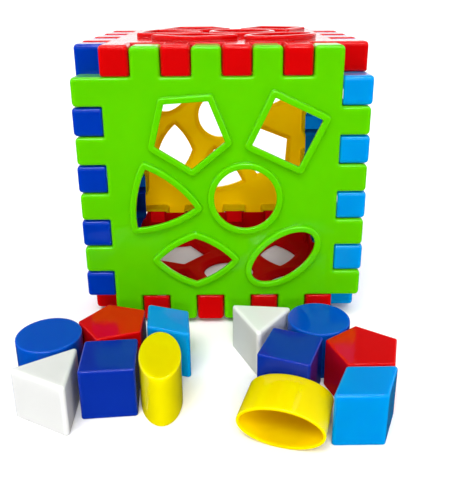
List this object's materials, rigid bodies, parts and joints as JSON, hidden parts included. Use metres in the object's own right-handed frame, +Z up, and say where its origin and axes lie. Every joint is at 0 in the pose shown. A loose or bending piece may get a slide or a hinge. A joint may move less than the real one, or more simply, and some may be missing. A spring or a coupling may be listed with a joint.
{
  "type": "shape sorter",
  "caption": "Shape sorter: a hollow cube of castellated plastic panels that press together, with shaped holes ringed by raised rims, and loose hollow blocks to post through them.",
  "frame": {"origin": "middle of the whole set's footprint, on the surface it stands on", "axes": "+Z up, out of the cube's top; -Y out of the cube's front, towards the loose blocks; +X to the right seen from the front"},
  "size_m": [0.2139, 0.3057, 0.186],
  "materials": {
    "green_plastic": "glossy moulded green plastic",
    "red_plastic": "glossy moulded red plastic",
    "yellow_plastic": "glossy moulded yellow plastic",
    "dark_blue_plastic": "glossy moulded dark blue plastic",
    "light_blue_plastic": "glossy moulded light blue plastic",
    "royal_blue_plastic": "glossy moulded royal blue plastic",
    "deep_blue_plastic": "glossy moulded deep blue plastic",
    "white_plastic": "glossy moulded off-white plastic"
  },
  "bodies": {
    "base": {"panel_bottom": "red_plastic"},
    "front": {"panel_front": "green_plastic"},
    "back": {"panel_back": "yellow_plastic"},
    "left": {"panel_left": "dark_blue_plastic"},
    "right": {"panel_right": "light_blue_plastic"},
    "top": {"panel_top": "red_plastic"},
    "pentagon_left": {"block_pentagon_left": "red_plastic"},
    "circle_left": {"block_circle_left": "royal_blue_plastic"},
    "triangle_left": {"block_triangle_left": "white_plastic"},
    "diamond_left": {"block_diamond_left": "light_blue_plastic"},
    "square_left": {"block_square_left": "deep_blue_plastic"},
    "ellipse_left": {"block_ellipse_left": "yellow_plastic"},
    "triangle_right": {"block_triangle_right": "white_plastic"},
    "circle_right": {"block_circle_right": "royal_blue_plastic"},
    "diamond_right": {"block_diamond_right": "light_blue_plastic"},
    "pentagon_right": {"block_pentagon_right": "red_plastic"},
    "square_right": {"block_square_right": "deep_blue_plastic"},
    "ellipse_right": {"block_ellipse_right": "yellow_plastic"}
  },
  "joints": [
    {"name": "front_pull_off", "type": "slide", "parent": "base", "child": "front", "axis": [0, -1, 0], "range_m": [0, 0.02]},
    {"name": "back_pull_off", "type": "slide", "parent": "base", "child": "back", "axis": [0, 1, 0], "range_m": [0, 0.04]},
    {"name": "left_pull_off", "type": "slide", "parent": "base", "child": "left", "axis": [-1, 0, 0], "range_m": [0, 0.04]},
    {"name": "right_pull_off", "type": "slide", "parent": "base", "child": "right", "axis": [1, 0, 0], "range_m": [0, 0.04]},
    {"name": "top_pull_off", "type": "slide", "parent": "base", "child": "top", "axis": [0, 0, 1], "range_m": [0, 0.04]},
    {"name": "pentagon_left_lift", "type": "slide", "parent": "base", "child": "pentagon_left", "axis": [0, 0, 1], "range_m": [0, 0.06]},
    {"name": "circle_left_lift", "type": "slide", "parent": "base", "child": "circle_left", "axis": [0, 0, 1], "range_m": [0, 0.06]},
    {"name": "triangle_left_lift", "type": "slide", "parent": "base", "child": "triangle_left", "axis": [0, 0, 1], "range_m": [0, 0.06]},
    {"name": "diamond_left_lift", "type": "slide", "parent": "base", "child": "diamond_left", "axis": [0, 0, 1], "range_m": [0, 0.06]},
    {"name": "square_left_lift", "type": "slide", "parent": "base", "child": "square_left", "axis": [0, 0, 1], "range_m": [0, 0.06]},
    {"name": "ellipse_left_lift", "type": "slide", "parent": "base", "child": "ellipse_left", "axis": [0, 0, 1], "range_m": [0, 0.06]},
    {"name": "triangle_right_lift", "type": "slide", "parent": "base", "child": "triangle_right", "axis": [0, 0, 1], "range_m": [0, 0.06]},
    {"name": "circle_right_lift", "type": "slide", "parent": "base", "child": "circle_right", "axis": [0, 0, 1], "range_m": [0, 0.06]},
    {"name": "diamond_right_lift", "type": "slide", "parent": "base", "child": "diamond_right", "axis": [0, 0, 1], "range_m": [0, 0.06]},
    {"name": "pentagon_right_lift", "type": "slide", "parent": "base", "child": "pentagon_right", "axis": [0, 0, 1], "range_m": [0, 0.06]},
    {"name": "square_right_lift", "type": "slide", "parent": "base", "child": "square_right", "axis": [0, 0, 1], "range_m": [0, 0.06]},
    {"name": "ellipse_right_lift", "type": "slide", "parent": "base", "child": "ellipse_right", "axis": [0, 0, 1], "range_m": [0, 0.06]}
  ]
}
